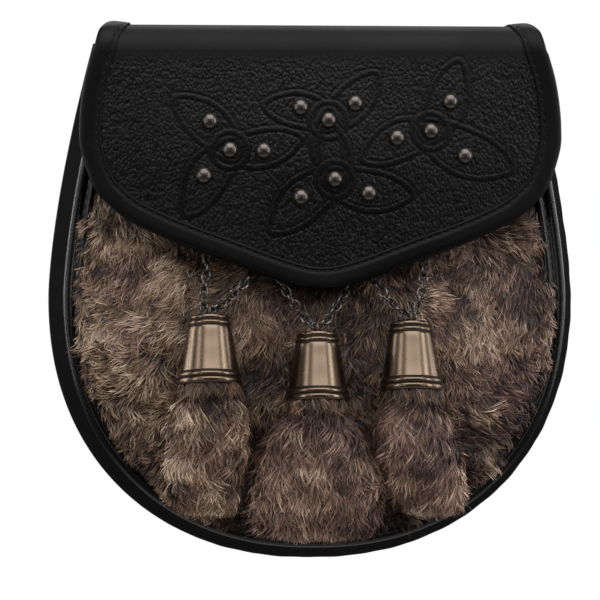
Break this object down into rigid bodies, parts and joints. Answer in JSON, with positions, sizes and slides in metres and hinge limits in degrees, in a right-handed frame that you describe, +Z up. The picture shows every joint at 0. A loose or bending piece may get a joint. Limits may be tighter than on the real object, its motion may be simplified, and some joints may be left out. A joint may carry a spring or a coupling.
{
  "type": "sporran pouch",
  "caption": "Leather sporran pouch with a fur front, a bound and studded flap, and fur tassels in brass cones on a fine chain.",
  "frame": {"origin": "midway between the two belt loops on the back, at the middle of the slots that the belt passes through", "axes": "+Z up as the pouch hangs, -Y out of the furred front, +X to the right of someone facing the front"},
  "size_m": [0.19, 0.0716, 0.1921],
  "materials": {
    "leather": "black hide, satin, with a soft shine along its bends",
    "grained_leather": "black hide, embossed with a pebbled grain and tooled with interlaced lines",
    "fur": "dense mottled grey-brown rabbit fur",
    "brass": "antique brass, brushed, dark in its grooves",
    "nail_metal": "aged brass, domed and polished by wear",
    "chain_metal": "blackened steel, bright where the links rub"
  },
  "bodies": {
    "root": {"back_panel": "leather", "gusset": "leather", "front_panel": "leather", "front_binding": "leather", "fur_panel": "fur", "flap": "grained_leather", "flap_binding": "leather", "stud_01": "nail_metal", "stud_02": "nail_metal", "stud_03": "nail_metal", "stud_04": "nail_metal", "stud_05": "nail_metal", "stud_06": "nail_metal", "stud_07": "nail_metal", "stud_08": "nail_metal", "stud_09": "nail_metal", "stud_10": "nail_metal", "stud_11": "nail_metal", "stud_12": "nail_metal", "stud_13": "nail_metal", "stud_14": "nail_metal", "cone_left": "brass", "cone_middle": "brass", "cone_right": "brass", "tassel_left": "fur", "tassel_middle": "fur", "tassel_right": "fur", "chain_left": "chain_metal", "chain_middle": "chain_metal", "chain_right": "chain_metal", "chain_hanger_1": "chain_metal", "chain_hanger_2": "chain_metal", "chain_hanger_3": "chain_metal", "chain_hanger_4": "chain_metal", "snap": "chain_metal", "belt_loop_left": "leather", "belt_loop_right": "leather"}
  },
  "joints": []
}
